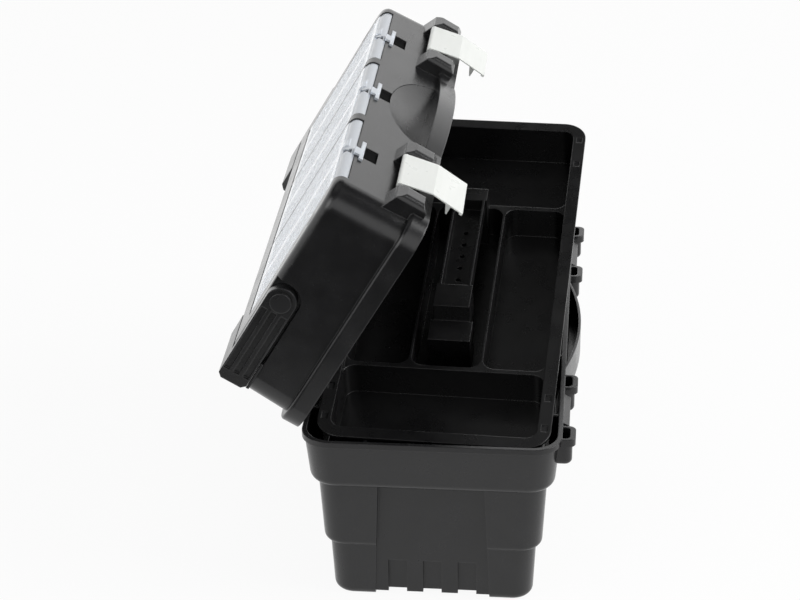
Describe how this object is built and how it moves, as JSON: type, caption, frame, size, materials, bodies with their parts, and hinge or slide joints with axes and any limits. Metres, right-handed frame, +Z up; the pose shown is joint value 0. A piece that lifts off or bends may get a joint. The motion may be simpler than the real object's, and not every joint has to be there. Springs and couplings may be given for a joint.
{
  "type": "tool box",
  "caption": "Long plastic tool box with a hinged organiser lid under clear covers, bent sheet latches, a folding handle and a lift-out tray with a channel grip.",
  "frame": {"origin": "on the floor under the middle of the base", "axes": "+X along the box to the right seen from the front, -Y out of the latch side, +Z up"},
  "size_m": [0.516, 0.3327, 0.4436],
  "materials": {
    "black_plastic": "fine textured black moulding",
    "tray_plastic": "smooth black moulding",
    "clear_plastic": "clear ribbed moulding",
    "latch_plastic": "pale silver bent plate",
    "pin_steel": "drawn wire"
  },
  "bodies": {
    "base": {"base_bin": "black_plastic", "hinge_pin_left": "pin_steel", "hinge_pin_right": "pin_steel"},
    "lid": {"lid_shell": "black_plastic", "latch_pin_left": "pin_steel", "latch_pin_right": "pin_steel", "handle_pivot_left": "black_plastic", "handle_pivot_right": "black_plastic"},
    "tray": {"tray": "tray_plastic"},
    "handle": {"carry_handle": "black_plastic"},
    "left_latch": {"latch_left": "latch_plastic"},
    "right_latch": {"latch_right": "latch_plastic"},
    "left_cover": {"cover_left": "clear_plastic"},
    "middle_cover": {"cover_middle": "clear_plastic"},
    "right_cover": {"cover_right": "clear_plastic"}
  },
  "joints": [
    {"name": "lid_hinge", "type": "hinge", "parent": "base", "child": "lid", "pos_m": [0, 0.1313, 0.187], "axis": [-1, 0, 0], "range_deg": [-59.4, 36]},
    {"name": "tray_tilt", "type": "hinge", "parent": "base", "child": "tray", "pos_m": [-0.2442, 0, 0.184], "axis": [-0.0257, -0.9821, -0.1865], "range_deg": [-15.98, 9.69]},
    {"name": "handle_fold", "type": "hinge", "parent": "lid", "child": "handle", "pos_m": [0, 0.13531, 0.3303], "axis": [1, 0, 0], "range_deg": [0, 95]},
    {"name": "latch_left_swing", "type": "hinge", "parent": "lid", "child": "left_latch", "pos_m": [-0.172, 0.02952, 0.42864], "axis": [-1, 0, 0], "range_deg": [0, 105]},
    {"name": "latch_right_swing", "type": "hinge", "parent": "lid", "child": "right_latch", "pos_m": [0.172, 0.02952, 0.42864], "axis": [-1, 0, 0], "range_deg": [0, 105]},
    {"name": "cover_left_open", "type": "hinge", "parent": "lid", "child": "left_cover", "pos_m": [-0.149, 0.16566, 0.30177], "axis": [-1, 0, 0], "range_deg": [0, 95]},
    {"name": "cover_middle_open", "type": "hinge", "parent": "lid", "child": "middle_cover", "pos_m": [0, 0.16566, 0.30177], "axis": [-1, 0, 0], "range_deg": [0, 95]},
    {"name": "cover_right_open", "type": "hinge", "parent": "lid", "child": "right_cover", "pos_m": [0.149, 0.16566, 0.30177], "axis": [-1, 0, 0], "range_deg": [0, 95]}
  ],
  "couplings": [
    {"joint": "tray_tilt", "follows": "lid_hinge", "ratio": 0.26906}
  ]
}
